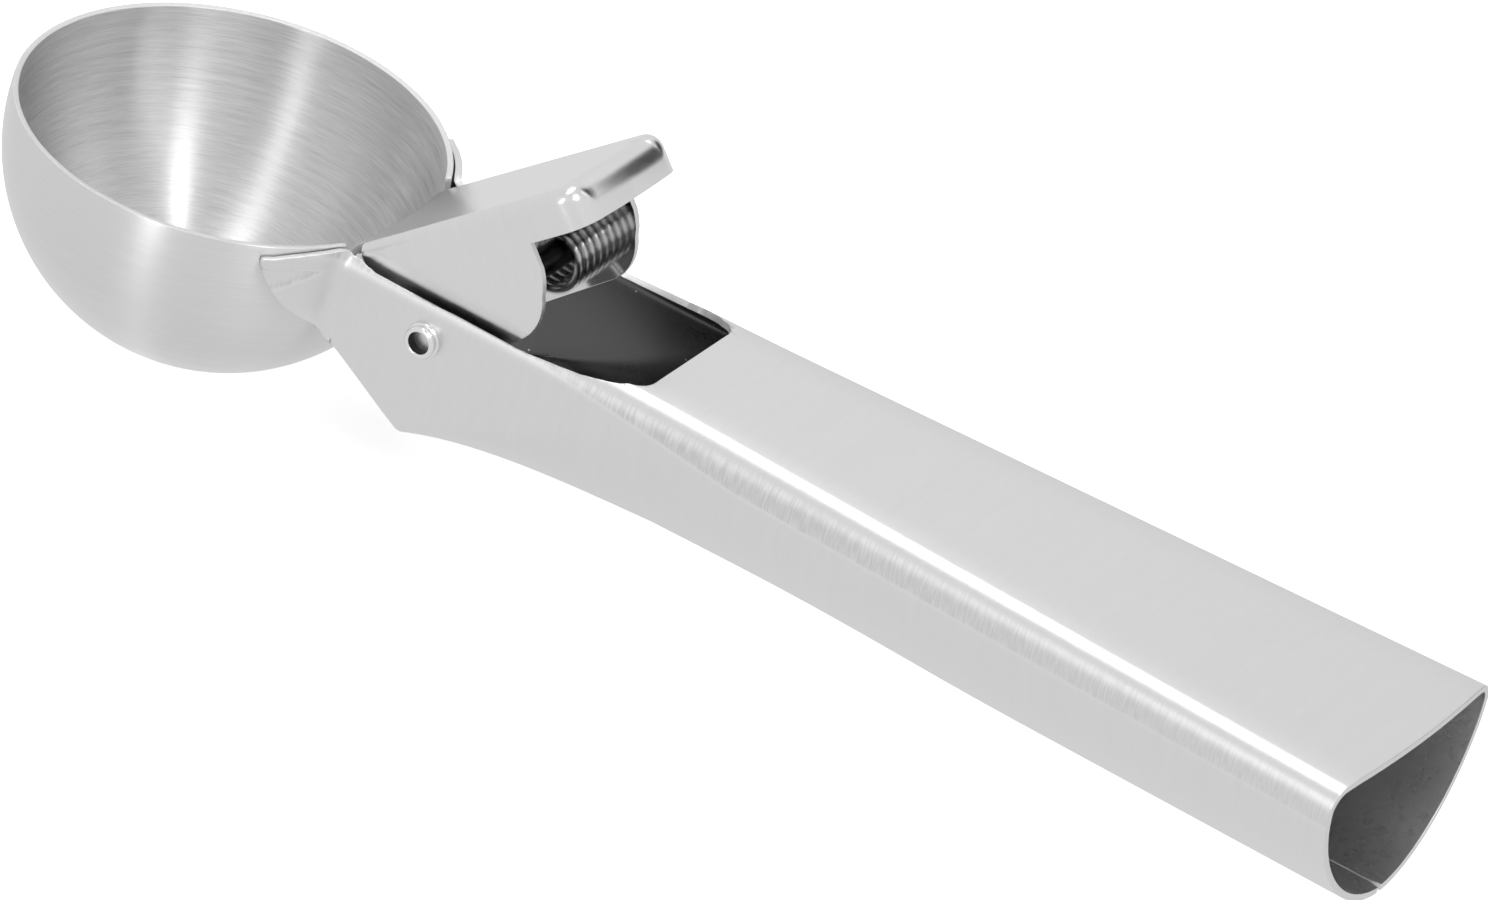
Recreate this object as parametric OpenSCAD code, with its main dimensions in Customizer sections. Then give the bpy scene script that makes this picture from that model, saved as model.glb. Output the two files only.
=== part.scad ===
// Lever ice cream scoop, bent and pressed from stainless steel sheet.
//
// All modules are drawn in the bowl's frame: the rim lies in the plane z = 0, the
// bowl's axis is the Z axis and the handle runs along +X. The module at_rest then
// pitches the whole scoop about Y until it lies on a table, touching it with the
// bowl and with the handle's end, and puts the origin at the middle of its base.

/* [Bowl] */
// Outer diameter of the ball that the bowl is cut from
bowl_d = 55; // [50:0.5:60]
// Thickness of the bowl's sheet
bowl_sheet = 0.8; // [0.6:0.1:1.2]
// Height of the rim above the ball's centre
rim_rise = 3.3; // [2:0.1:6]

/* [Handle] */
// Distance from the bowl's centre to the handle's end
handle_reach = 171.4; // [150:0.5:190]
// Thickness of the handle's sheet
handle_sheet = 0.9; // [0.7:0.1:1.2]
// Outer width across the cheeks
neck_w = 26.6; // [26:0.1:29]
// Outer width at the handle's end
end_w = 37.8; // [32:0.2:44]
// Depth of the handle from its flat top to its underside, at the top opening
handle_depth = 21.6; // [19:0.1:25]
// Height of the flat top above the rim, at the top opening
handle_lift = 1; // [0:0.1:2]
// Further rise of the flat top from the opening to the handle's end
handle_rise = 0.7; // [0:0.1:2]
// Radius of the two long top corners
corner_r = 3.2; // [2:0.1:4.5]
// How far the underside is drawn in at the waist
waist_h = 0.6; // [0:0.1:1.2]
// Fullness of the underside's curve at the end, where 2 is a true ellipse
end_fullness = 1.8; // [1.6:0.05:2.2]
// How far the end's middle stands out past its corners
end_bow = 0.9; // [0:0.1:1.5]
// Gap of the folded seam along the underside
seam_gap = 0.3; // [0.2:0.05:0.6]

/* [Top opening] */
// Distance from the bowl's centre to the opening's rear edge
opening_reach = 67.2; // [62:0.2:72]
// Width of the opening at its rear edge
opening_w = 21.6; // [18:0.2:23]
// Radius of the opening's rear corners
opening_r = 2.6; // [1:0.1:4]

/* [Cheeks] */
// Depth of the cheeks' top edge below the rim
cheek_drop = 1; // [0.5:0.1:2]
// Distance from the bowl's centre to the toe, the lowest corner of a cheek
toe_reach = 37.8; // [36:0.1:40]
// Depth of the toe below the rim
toe_depth = 19.4; // [17:0.1:20.5]
// Depth below the rim at which a cheek's lower edge leaves the bowl
throat_depth = 12.3; // [11.5:0.1:13]
// Distance from the bowl's centre to the tip of a welding tab, along the handle
tab_reach = 18.7; // [17:0.1:20]
// Gap between a welding tab and the bowl's outside
tab_gap = 0.15; // [0.05:0.01:0.2]
// Radius of a spot weld
weld_r = 1.3; // [0.8:0.1:2]

/* [Lever] */
// Thickness of the lever's sheet
lever_sheet = 0.9; // [0.7:0.1:1.1]
// Outer width of the lever
lever_w = 22; // [20:0.2:22.4]
// Slope of the thumb plate above the rim, in degrees
plate_slope = 40.4; // [37:0.2:43]
// Distance from the bowl's centre to where the plate's face cuts the rim's level
plate_foot = 25.7; // [25:0.1:26.4]
// Length of the thumb plate from that place to its rear end
plate_l = 34.2; // [31:0.2:36]
// Depth of the lip that is folded down around the thumb plate
lip_h = 5.3; // [4.5:0.1:6]
// Radius of the fold along the sides
side_fold_r = 1.6; // [1.2:0.1:2.2]
// Radius of the fold at the rear end
rear_fold_r = 3.4; // [2.5:0.1:3.8]
// Radius of the plate's rear corners, seen from above
plate_corner_r = 4; // [3.9:0.1:6]
// Radius of the bend between the tongue and the thumb plate
tongue_bend_r = 3; // [2:0.1:4]
// Gap between the tongue and the bowl's inside
tongue_gap = 0.3; // [0.2:0.05:0.6]
// Width of the tongue
tongue_w = 18.2; // [14:0.2:18.2]
// Depth of the tongue's tip below the rim
tongue_depth = 25.5; // [20:0.5:27]

/* [Pivot] */
// Distance from the bowl's centre to the pivot
pivot_reach = 38.4; // [37.6:0.1:39.4]
// Depth of the pivot below the rim
pivot_depth = 5.8; // [5:0.1:6.6]
// Outer diameter of the hollow rivet's shank
rivet_d = 3.6; // [3.2:0.1:4]
// Diameter of the hole through the rivet
rivet_hole_d = 2.8; // [2.2:0.1:3]
// How far each rolled head stands out from the cheek
rivet_head_h = 1.7; // [1.3:0.1:2.2]
// Radial clearance of the lever on the rivet
pivot_play = 0.06; // [0.03:0.01:0.1]

/* [Spring] */
// Diameter of the spring's wire
wire_d = 1.1; // [0.8:0.1:1.2]
// Outer diameter of the spring's coil
coil_d = 8.2; // [7.4:0.1:9]
// Number of turns in the coil
coil_turns = 9; // [6:1:10]
// Distance from one turn to the next
coil_pitch = 1.55; // [1.3:0.05:1.6]

/* [Hidden] */
$fn = 96;
eps = 0.01;

// Ball of the bowl, from outside to inside
bowl_r = bowl_d / 2;
bowl_in_r = bowl_r - bowl_sheet;
ball_z = -rim_rise;
tongue_out_r = bowl_in_r - tongue_gap;
tongue_in_r = tongue_out_r - lever_sheet;
notch_play = 0.7;
notch_z = -pivot_depth + 0.6;
notch_corner_r = 1.5;

// Handle
neck_half = neck_w / 2;
neck_in = neck_half - handle_sheet;
end_half = end_w / 2;
underside_z = handle_lift - handle_depth;
neck_start = tab_reach - 4;
tube_start = opening_reach + 3;
flare_start = opening_reach - 1;
flare_soft = 12;
waist_x = tube_start + 22;
waist_l = 32;
toe_belly = 1.3;
toe_r = 3;
mouth_end = opening_reach - 7;
weld_sink = 0.25;
weld_places = [[38, 4], [31, 9]];
tab_r = bowl_r + tab_gap + handle_sheet;

// Pivot and rivet
pivot = [pivot_reach, -pivot_depth];
rivet_r = rivet_d / 2;
rivet_fit = 0.02;
boss_r = rivet_r + 2.4;
rivet_lip_r = rivet_r + 0.3;
rivet_base_r = rivet_r + 0.5;
rivet_base_h = 0.5;
rivet_neck_h = 0.35;

// Lever: u runs up the thumb plate from its foot and v stands square on it
lever_half = lever_w / 2;
lever_in = lever_half - lever_sheet;
tongue_half = min(tongue_w / 2, lever_half - side_fold_r - 0.3);
plate_dir = [cos(plate_slope), sin(plate_slope)];
plate_nrm = [-sin(plate_slope), cos(plate_slope)];
lobe_r = 6.6;
lobe = pivot + [6.6, 9.4];
lobe_notch_u = plate_l - 9.4;
flange_front = [2.6, -side_fold_r - 0.2];
flange_sheet = lever_sheet - 0.04;

// Ball's centre seen from the plate, and the bend that joins its inside to the plate
ball_uv = uv_of([0, ball_z]);
bend_v = -tongue_bend_r;
bend_rho = sqrt(pow(tongue_in_r + tongue_bend_r, 2) - pow(ball_uv[1] - bend_v, 2));
bend_a = atan2(bend_v - ball_uv[1], bend_rho);

// Spring: its coil hangs on the rivet
wire_r = wire_d / 2;
coil_r = (coil_d - wire_d) / 2;
coil_hang = coil_r - wire_r - rivet_r;
coil_c = pivot - [0, coil_hang - 0.02];
coil_near = -(lever_in - wire_r - 0.15);
coil_l = coil_turns * coil_pitch;
floor_leg_a = -117;
plate_leg_a = 165;
leg_play = 0.12;
plate_leg_l = leg_to_plate(plate_leg_a);
floor_leg_l = leg_to_floor(floor_leg_a, coil_r);
wire_sides = 8;
wire_steps = 20;

// Rest on the table: pitch, and the place of the base's middle
end_z = underside_z;
end_span = norm([handle_reach, end_z - ball_z]);
rest_pitch = asin(bowl_r / end_span) + atan2(end_z - ball_z, handle_reach);
rest_ball = pitched([0, ball_z]);
rest_front = rest_ball[0] - bowl_r;
rest_rear = pitched([handle_reach, handle_lift + handle_rise])[0];
rest_base = rest_ball[1] - bowl_r;

function pitched(p) = [
    p[0] * cos(rest_pitch) + p[1] * sin(rest_pitch),
    -p[0] * sin(rest_pitch) + p[1] * cos(rest_pitch)
];
function uv_of(p) = [
    (p - [plate_foot, 0]) * plate_dir,
    (p - [plate_foot, 0]) * plate_nrm
];
function xz_of(uv) = [plate_foot, 0] + uv[0] * plate_dir + uv[1] * plate_nrm;
function mix(a, b, t) = a + (b - a) * t;
function clamp01(t) = max(0, min(1, t));
function ramp(d, soft) = d <= -soft ? 0 : d >= soft ? d : pow(d + soft, 2) / (4 * soft);
function bump(t) = abs(t) < 1 ? (cos(180 * t) + 1) / 2 : 0;
function middle(ring) = [for (p = ring) 1] * ring / len(ring);
function arc(c, r, a0, a1, n) = [
    for (i = [0:n]) c + r * [cos(mix(a0, a1, i / n)), sin(mix(a0, a1, i / n))]
];

// ---------- Handle: sections of the folded sheet at distance x from the bowl ----------

function half_w(x) =
    neck_half + (end_half - neck_half)
    * ramp(x - flare_start, flare_soft) / (handle_reach - flare_start);
function top_z(x) =
    handle_lift + handle_rise * (x - opening_reach) / (handle_reach - opening_reach);
function bottom_z(x) = underside_z + waist_h * bump((x - waist_x) / waist_l);
function full_belly(x) = top_z(x) - corner_r - bottom_z(x);
function belly_h(x) =
    mix(toe_belly, full_belly(x), clamp01((x - toe_reach) / (tube_start - toe_reach)));
function fullness(x) =
    mix(2, end_fullness, clamp01((x - tube_start) / (handle_reach - tube_start)));
function bowed(x, y) =
    x - end_bow * clamp01((x - tube_start) / (handle_reach - tube_start))
    * pow(y / end_half, 2);

// Right half of the section, from the middle of the top down to the middle of the
// underside: flat, corner, upright side and rounded belly, all drawn in by inset
function half_section(x, inset) =
    let (
        a = half_w(x) - inset,
        r = max(corner_r - inset, eps),
        zt = top_z(x) - inset,
        h = belly_h(x) - inset,
        zc = bottom_z(x) + belly_h(x),
        p = 2 / fullness(x)
    )
    concat(
        [[0, zt]],
        arc([a - r, zt - r], r, 90, 0, 7),
        [for (b = [0:6:90]) [a * pow(cos(b), p), min(zc, zt - r - eps) - h * pow(sin(b), p)]]
    );
function section(x, inset) =
    let (half = half_section(x, inset), last = len(half) - 1)
    [
        for (p = half) [bowed(x, p[0]), p[0], p[1]],
        for (i = [last - 1:-1:1]) [bowed(x, half[i][0]), -half[i][0], half[i][1]]
    ];

// Closed skin through a row of rings with equally many points
module skin(rings) {
    count = len(rings);
    side = len(rings[0]);
    ends = [count * side, count * side + 1];
    last = (count - 1) * side;
    polyhedron(
        points = [for (ring = rings) each ring, middle(rings[0]), middle(rings[count - 1])],
        faces = [
            for (i = [0:side - 1])
                let (j = (i + 1) % side)
                each [[j, i, ends[0]], [last + i, last + j, ends[1]]],
            for (k = [0:count - 2], i = [0:side - 1])
                let (a = k * side + i, b = k * side + (i + 1) % side)
                each [[a, b, a + side], [b, b + side, a + side]]
        ]
    );
}

module handle_form(inset, x0, x1) {
    neck_n = 13;
    tube_n = 9;
    stations = concat(
        [for (i = [0:neck_n - 1]) mix(x0, tube_start, i / neck_n)],
        [for (i = [0:tube_n]) mix(tube_start, x1, i / tube_n)]
    );
    skin([for (x = stations) section(x, inset)]);
}

// Side view of the sheet that is kept: tab, cheek and handle
module side_outline() {
    far = handle_reach + 10;
    throat = [bowl_r - 2.4, -throat_depth];
    shoulder = [throat[0], 0.05];
    toe = [toe_reach, -toe_depth];
    tip = [tab_reach, -1.2];
    polygon(concat(
        [for (q = [[0.02, 0.08], [0.08, 0.13], [0.19, 0.16], [0.39, 0.44], [0.66, 0.72]])
            [mix(tip[0], shoulder[0], q[0]), mix(tip[1], shoulder[1], q[1])]],
        [
            shoulder,
            [bowl_r + 2, -cheek_drop + 0.1],
            [opening_reach - 17, -cheek_drop],
            [opening_reach - 8, -cheek_drop / 5],
            [opening_reach - 3, handle_lift - 0.3],
            [opening_reach, 10],
            [far, 10],
            [far, underside_z - 5],
            [toe_reach + 8, underside_z - 5],
            [toe_reach + 6, underside_z + 0.1],
            toe + [0.8, -0.15],
            toe + [-0.5, 0.25],
            toe + [-2.2, 1.2],
            throat + [2.6, -1.1],
            throat + [1.3, -0.45],
            throat,
            throat + [-1, 0.9]
        ],
        [for (t = [0.75, 0.6, 0.4, 0.2, 0.05])
            [mix(tip[0], throat[0] - 2, pow(t, 1.35)), mix(tip[1], throat[1] + 1.9, t)]]
    ));
}

// Both sides drawn from one outline in the side view
module across(w) {
    rotate([90, 0, 0])
        linear_extrude(height = w, center = true)
            children();
}

module opening_plan() {
    side = opening_w / 2;
    r = opening_r;
    polygon(concat(
        [[neck_start - 1, -neck_in], [opening_reach - 17, -neck_in], [opening_reach - 9, -side - 0.6]],
        arc([opening_reach - r, -side + r], r, -90, 0, 8),
        arc([opening_reach - r, side - r], r, 0, 90, 8),
        [[opening_reach - 9, side + 0.6], [opening_reach - 17, neck_in], [neck_start - 1, neck_in]]
    ));
}

// Mouth between the two folded edges under the cheeks, closing to the seam
module seam_plan() {
    gap = seam_gap / 2;
    nick = 0.9;
    polygon([
        [neck_start - 1, -neck_in],
        [toe_reach, -neck_in],
        [mix(toe_reach, mouth_end, 0.5), -neck_in * 0.42],
        [mouth_end, -gap],
        [handle_reach - 1.4, -gap],
        [handle_reach + 3, -nick - gap],
        [handle_reach + 3, nick + gap],
        [handle_reach - 1.4, gap],
        [mouth_end, gap],
        [mix(toe_reach, mouth_end, 0.5), neck_in * 0.42],
        [toe_reach, neck_in],
        [neck_start - 1, neck_in]
    ]);
}

module tabs() {
    intersection() {
        difference() {
            translate([0, 0, ball_z])
                sphere(r = tab_r);
            translate([0, 0, ball_z])
                sphere(r = bowl_r + tab_gap);
            translate([0, 0, -bowl_d])
                linear_extrude(height = 2 * bowl_d)
                    square([4 * bowl_d, 2 * neck_in], center = true);
        }
        across(2 * bowl_d)
            side_outline();
        translate([0, -bowl_d, -bowl_d])
            cube([bowl_r, 2 * bowl_d, 2 * bowl_d]);
    }
}

// Nuggets that fuse each tab to the bowl
module spot_welds() {
    for (side = [-1, 1], place = weld_places)
        translate([0, 0, ball_z])
            rotate([0, place[1], side * place[0]])
                translate([bowl_r - weld_sink, 0, 0])
                    rotate([0, 90, 0])
                        cylinder(r = weld_r, h = weld_sink + tab_gap + handle_sheet / 2, $fn = 32);
}

module pivot_hole(r, w) {
    translate([pivot[0], 0, pivot[1]])
        rotate([90, 0, 0])
            cylinder(r = r, h = w, center = true, $fn = 64);
}

module handle() {
    color([0.80, 0.80, 0.81]) {
        difference() {
            intersection() {
                handle_form(0, neck_start, handle_reach);
                across(2 * end_w)
                    side_outline();
            }
            handle_form(handle_sheet, neck_start - 2, handle_reach + 2);
            translate([0, 0, -handle_depth / 2])
                linear_extrude(height = 2 * handle_depth)
                    opening_plan();
            translate([0, 0, underside_z - 10])
                linear_extrude(height = handle_depth / 2 + 10)
                    seam_plan();
            translate([0, 0, ball_z])
                sphere(r = bowl_r + tab_gap);
            pivot_hole(rivet_r + rivet_fit, 2 * neck_w);
        }
        tabs();
        spot_welds();
    }
}

// ---------- Bowl: a cut ball with a notch that lets the lever through ----------

module notch_outline() {
    half = lever_half + notch_play;
    r = notch_corner_r;
    translate([-half + r, notch_z])
        square([2 * (half - r), bowl_r]);
    translate([-half, notch_z + r])
        square([2 * half, bowl_r]);
    for (side = [-1, 1])
        translate([side * (half - r), notch_z + r])
            circle(r = r, $fn = 48);
}

module bowl() {
    color([0.82, 0.82, 0.83])
    difference() {
        translate([0, 0, ball_z])
            sphere(r = bowl_r);
        translate([0, 0, ball_z])
            sphere(r = bowl_in_r);
        translate([-bowl_d, -bowl_d, 0])
            cube(2 * bowl_d);
        rotate([90, 0, 90])
            linear_extrude(height = bowl_d)
                notch_outline();
    }
}

// ---------- Lever: one pressing with a thumb plate, two flanges and a tongue ----------

// Outline of the thumb plate seen square on, and the fold's radius along it
function plate_edge(inset) =
    let (
        w = lever_half - inset,
        c = plate_corner_r,
        l = plate_l - inset,
        r = c - inset
    )
    concat(
        [[0, -w, -90, 0]],
        [for (i = [0:10]) let (a = -90 + 9 * i)
            [plate_l - c + r * cos(a), -lever_half + c + r * sin(a), a, i / 10]],
        [for (i = [10:-1:0]) let (a = 90 - 9 * i)
            [plate_l - c + r * cos(a), lever_half - c + r * sin(a), a, i / 10]],
        [[0, w, 90, 0]]
    );
function fold_ring(inset, a) = [
    for (e = plate_edge(inset))
        let (
            f = mix(side_fold_r, rear_fold_r, e[3] * e[3] * (3 - 2 * e[3])) - inset,
            d = f * (1 - cos(a))
        )
        [e[0] - d * cos(e[2]), e[1] - d * sin(e[2]), -inset - f * (1 - sin(a))]
];
function rim_ring(inset, v) = [for (e = plate_edge(inset)) [e[0], e[1], v]];

module pan_form(inset, v) {
    skin([
        for (a = [90:-10:0]) fold_ring(inset, a),
        rim_ring(inset, v)
    ]);
}

module on_plate() {
    translate([plate_foot, 0, 0])
        rotate([0, -plate_slope, 0])
            children();
}

module thumb_plate() {
    on_plate()
        difference() {
            pan_form(0, -lip_h);
            pan_form(lever_sheet, -2 * lip_h);
            translate([-eps, -lever_in, -3 * lip_h])
                cube([2 * lever_sheet, 2 * lever_in, 3 * lip_h - lever_sheet]);
        }
}

// Side view of one flange: from the plate's fold down and around the pivot
module flange_outline() {
    step = lobe - pivot;
    lean = atan2(step[1], step[0]) - acos((boss_r - lobe_r) / norm(step));
    front = xz_of(flange_front);
    notch = xz_of([lobe_notch_u, -lip_h]);
    top = xz_of([lobe_notch_u, flange_front[1]]);
    polygon(concat(
        [front],
        arc(pivot, boss_r, 190, 360 + lean, 16),
        arc(lobe, lobe_r, lean, 20, 10),
        [lobe + [5.6, 4.9], lobe + [4.6, 6.4], notch, top]
    ));
}

module flanges() {
    for (side = [-1, 1])
        translate([0, side * (lever_half - lever_sheet / 2), 0])
            across(flange_sheet)
                flange_outline();
}

// Half of the tongue's section, turned about the plate's normal through the ball's
// centre, because a plane cuts a ball in a circle about that normal. Ball, bend and
// plate run a little into each other.
module tongue_section() {
    bend_c = [bend_rho, bend_v - ball_uv[1]];
    bend_dir = [cos(bend_a), sin(bend_a)];
    past_dir = [cos(bend_a + 0.6), sin(bend_a + 0.6)];
    difference() {
        intersection() {
            circle(r = tongue_out_r, $fn = 180);
            polygon([[0, 0], 2 * tongue_out_r * past_dir, [0, -3 * tongue_out_r]]);
        }
        circle(r = tongue_in_r, $fn = 180);
    }
    intersection() {
        difference() {
            translate(bend_c)
                circle(r = tongue_bend_r, $fn = 96);
            translate(bend_c)
                circle(r = tongue_bend_r - lever_sheet, $fn = 96);
        }
        polygon([bend_c, bend_c - 9 * bend_dir, bend_c + [0, 9]]);
    }
    translate([bend_rho - 0.05, -ball_uv[1] - lever_sheet])
        square([4, lever_sheet]);
}

module tongue_outline() {
    translate([-tongue_half, -tongue_depth + tongue_half])
        square([2 * tongue_half, 2 * bowl_r]);
    translate([0, -tongue_depth + tongue_half])
        circle(r = tongue_half, $fn = 96);
}

module tongue() {
    intersection() {
        on_plate()
            translate([ball_uv[0], 0, ball_uv[1]])
                rotate_extrude($fn = 180)
                    tongue_section();
        rotate([90, 0, 90])
            linear_extrude(height = bowl_d)
                tongue_outline();
    }
}

module lever() {
    color([0.84, 0.84, 0.85])
    difference() {
        union() {
            difference() {
                thumb_plate();
                on_plate()
                    translate([ball_uv[0], 0, -lip_h])
                        cylinder(r = bend_rho, h = 2 * lip_h, $fn = 180);
            }
            flanges();
            tongue();
        }
        pivot_hole(rivet_r + pivot_play, 2 * lever_w);
    }
}

// ---------- Rivet: a hollow tube, rolled over outside both cheeks ----------

module rivet_section() {
    seat = neck_half;
    tip = seat + rivet_head_h;
    lip_h = rivet_head_h - rivet_base_h - rivet_neck_h;
    polygon([
        [rivet_hole_d / 2, 0],
        [rivet_r, 0],
        [rivet_r, seat],
        [rivet_base_r, seat],
        [rivet_base_r, seat + rivet_base_h],
        [rivet_r + 0.05, seat + rivet_base_h],
        [rivet_r + 0.05, tip - lip_h],
        [rivet_lip_r, tip - lip_h + 0.15],
        [rivet_lip_r, tip - 0.35],
        [rivet_lip_r - 0.15, tip - 0.1],
        [rivet_lip_r - 0.4, tip],
        [rivet_hole_d / 2 + 0.1, tip],
        [rivet_hole_d / 2, tip - 0.12]
    ]);
}

module rivet() {
    color([0.78, 0.78, 0.80])
    translate([pivot[0], 0, pivot[1]])
        for (side = [-90, 90])
            rotate([side, 0, 0])
                rotate_extrude($fn = 64)
                    rivet_section();
}

// ---------- Spring: a torsion spring hung on the rivet, with two straight legs ----------

function coil_point(t) =
    let (a = plate_leg_a + t * (360 * coil_turns + floor_leg_a - plate_leg_a + 360))
    [coil_c[0] + coil_r * cos(a), coil_near + coil_l * (1 - t), coil_c[1] + coil_r * sin(a)];
function leg_end(a, l) =
    let (p = coil_c + coil_r * [cos(a), sin(a)], d = [-sin(a), cos(a)])
    p + l * d;
function wire_path() =
    let (
        n = coil_turns * wire_steps,
        up = leg_end(plate_leg_a, -plate_leg_l),
        down = leg_end(floor_leg_a, floor_leg_l)
    )
    concat(
        [[up[0], coil_near + coil_l, up[1]]],
        [for (i = [0:n]) coil_point(i / n)],
        [[down[0], coil_near, down[1]]]
    );

// Length of the leg that leaves the coil at angle a and stops under the thumb plate
function leg_to_plate(a) =
    let (
        p = uv_of(coil_c + coil_r * [cos(a), sin(a)]),
        d = uv_of([plate_foot, 0] - [-sin(a), cos(a)])
    )
    (-lever_sheet - wire_r - leg_play - p[1]) / d[1];

// Length of the leg that leaves the coil at angle a and stops on the handle's floor
function floor_z(x, y) =
    bottom_z(x) + belly_h(x)
    - (belly_h(x) - handle_sheet) * sqrt(1 - pow(y / (half_w(x) - handle_sheet), 2));
function leg_to_floor(a, l) =
    let (p = leg_end(a, l))
    p[1] - wire_r - leg_play < floor_z(p[0], coil_near - wire_r) ? l : leg_to_floor(a, l + 0.1);

function unit(v) = v / norm(v);
function wire_ring(path, i) =
    let (
        n = len(path) - 1,
        t = unit(path[min(i + 1, n)] - path[max(i - 1, 0)]),
        y = unit([0, 1, 0] - t[1] * t),
        x = cross(t, y)
    )
    [for (k = [0:wire_sides - 1])
        path[i] + wire_r * (cos(360 * k / wire_sides) * x + sin(360 * k / wire_sides) * y)];

module spring() {
    path = wire_path();
    color([0.70, 0.70, 0.72])
        skin([for (i = [0:len(path) - 1]) wire_ring(path, i)]);
}

// ---------- Assembly ----------

module at_rest() {
    translate([-(rest_front + rest_rear) / 2, 0, -rest_base])
        rotate([0, rest_pitch, 0])
            children();
}

at_rest() bowl();
at_rest() handle();
at_rest() lever();
at_rest() rivet();
at_rest() spring();
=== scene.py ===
"""Visual model of a lever ice cream scoop, bent and pressed from stainless steel sheet.

Every piece is drawn in millimetres in the bowl's own frame: the rim lies in the plane z = 0,
the bowl's axis is the Z axis and the handle runs along +X. RestFrame then lays the scoop on
the table, in metres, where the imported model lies.
"""

from __future__ import annotations

import logging
import math
from dataclasses import dataclass
from enum import Enum
from typing import Callable, Iterable, Mapping, Sequence

import bmesh
import bpy
from mathutils import Matrix, Vector

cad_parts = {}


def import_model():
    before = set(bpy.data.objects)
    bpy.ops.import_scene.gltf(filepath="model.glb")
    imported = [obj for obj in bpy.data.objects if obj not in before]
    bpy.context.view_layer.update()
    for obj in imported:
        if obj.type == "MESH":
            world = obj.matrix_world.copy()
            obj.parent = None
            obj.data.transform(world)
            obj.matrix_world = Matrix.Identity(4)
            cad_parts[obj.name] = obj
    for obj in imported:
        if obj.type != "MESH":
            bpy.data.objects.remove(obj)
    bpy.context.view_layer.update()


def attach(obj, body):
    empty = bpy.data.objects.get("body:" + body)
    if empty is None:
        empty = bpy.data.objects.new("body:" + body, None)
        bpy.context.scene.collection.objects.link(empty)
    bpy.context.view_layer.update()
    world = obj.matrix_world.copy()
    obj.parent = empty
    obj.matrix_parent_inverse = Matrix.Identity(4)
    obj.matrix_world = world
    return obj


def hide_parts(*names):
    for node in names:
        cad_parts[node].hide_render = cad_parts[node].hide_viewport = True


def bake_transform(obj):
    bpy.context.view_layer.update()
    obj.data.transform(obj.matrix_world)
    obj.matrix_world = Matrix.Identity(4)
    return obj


LOG = logging.getLogger("scoop")

Pair = tuple[float, float]
Triple = tuple[float, float, float]
Rows = list[list[Vector]]
Socket = bpy.types.NodeSocket
Sockets = bpy.types.bpy_prop_collection
Node = bpy.types.Node
Tree = bpy.types.NodeTree
Inputs = Mapping[str | int, object]
Material = bpy.types.Material
Piece = bpy.types.Object
Skin = Sequence[Material]
BMVert, BMEdge, BMFace = bmesh.types.BMVert, bmesh.types.BMEdge, bmesh.types.BMFace

MM = 0.001
PIVOT: Pair = (38.4, -5.8)
BALL_Z = -3.3
EDGE_R = 0.1
SHARP_DEG = 50.0
SHEET_MAP = "sheet"
UP = Vector((0.0, 0.0, 1.0))


class Body(Enum):
    """The two bodies that the pieces ride on."""

    FIXED = "body"
    LEVER = "lever"


@dataclass(frozen=True)
class RestFrame:
    """Lays the bowl's frame on the table: a pitch about Y, a shift, then millimetres to metres."""

    pitch_deg: float = 3.4220126
    shift_x: float = -71.749442
    shift_z: float = 30.794116

    def matrix(self) -> Matrix:
        """Return the matrix from the bowl's frame in millimetres to the table's in metres."""
        turn = Matrix.Rotation(math.radians(self.pitch_deg), 4, "Y")
        shift = Matrix.Translation((self.shift_x, 0.0, self.shift_z))
        return Matrix.Scale(MM, 4) @ shift @ turn


REST = RestFrame()


def unique(items: Iterable[object]) -> list:
    """Return items without repeats, in their order."""
    return list(dict.fromkeys(items))


def stand(name: str, data: bpy.types.ID) -> Piece:
    """Place new data in the scene as an object."""
    made = bpy.data.objects.new(name, data)
    bpy.context.scene.collection.objects.link(made)
    return made


# Shader helpers


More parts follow.
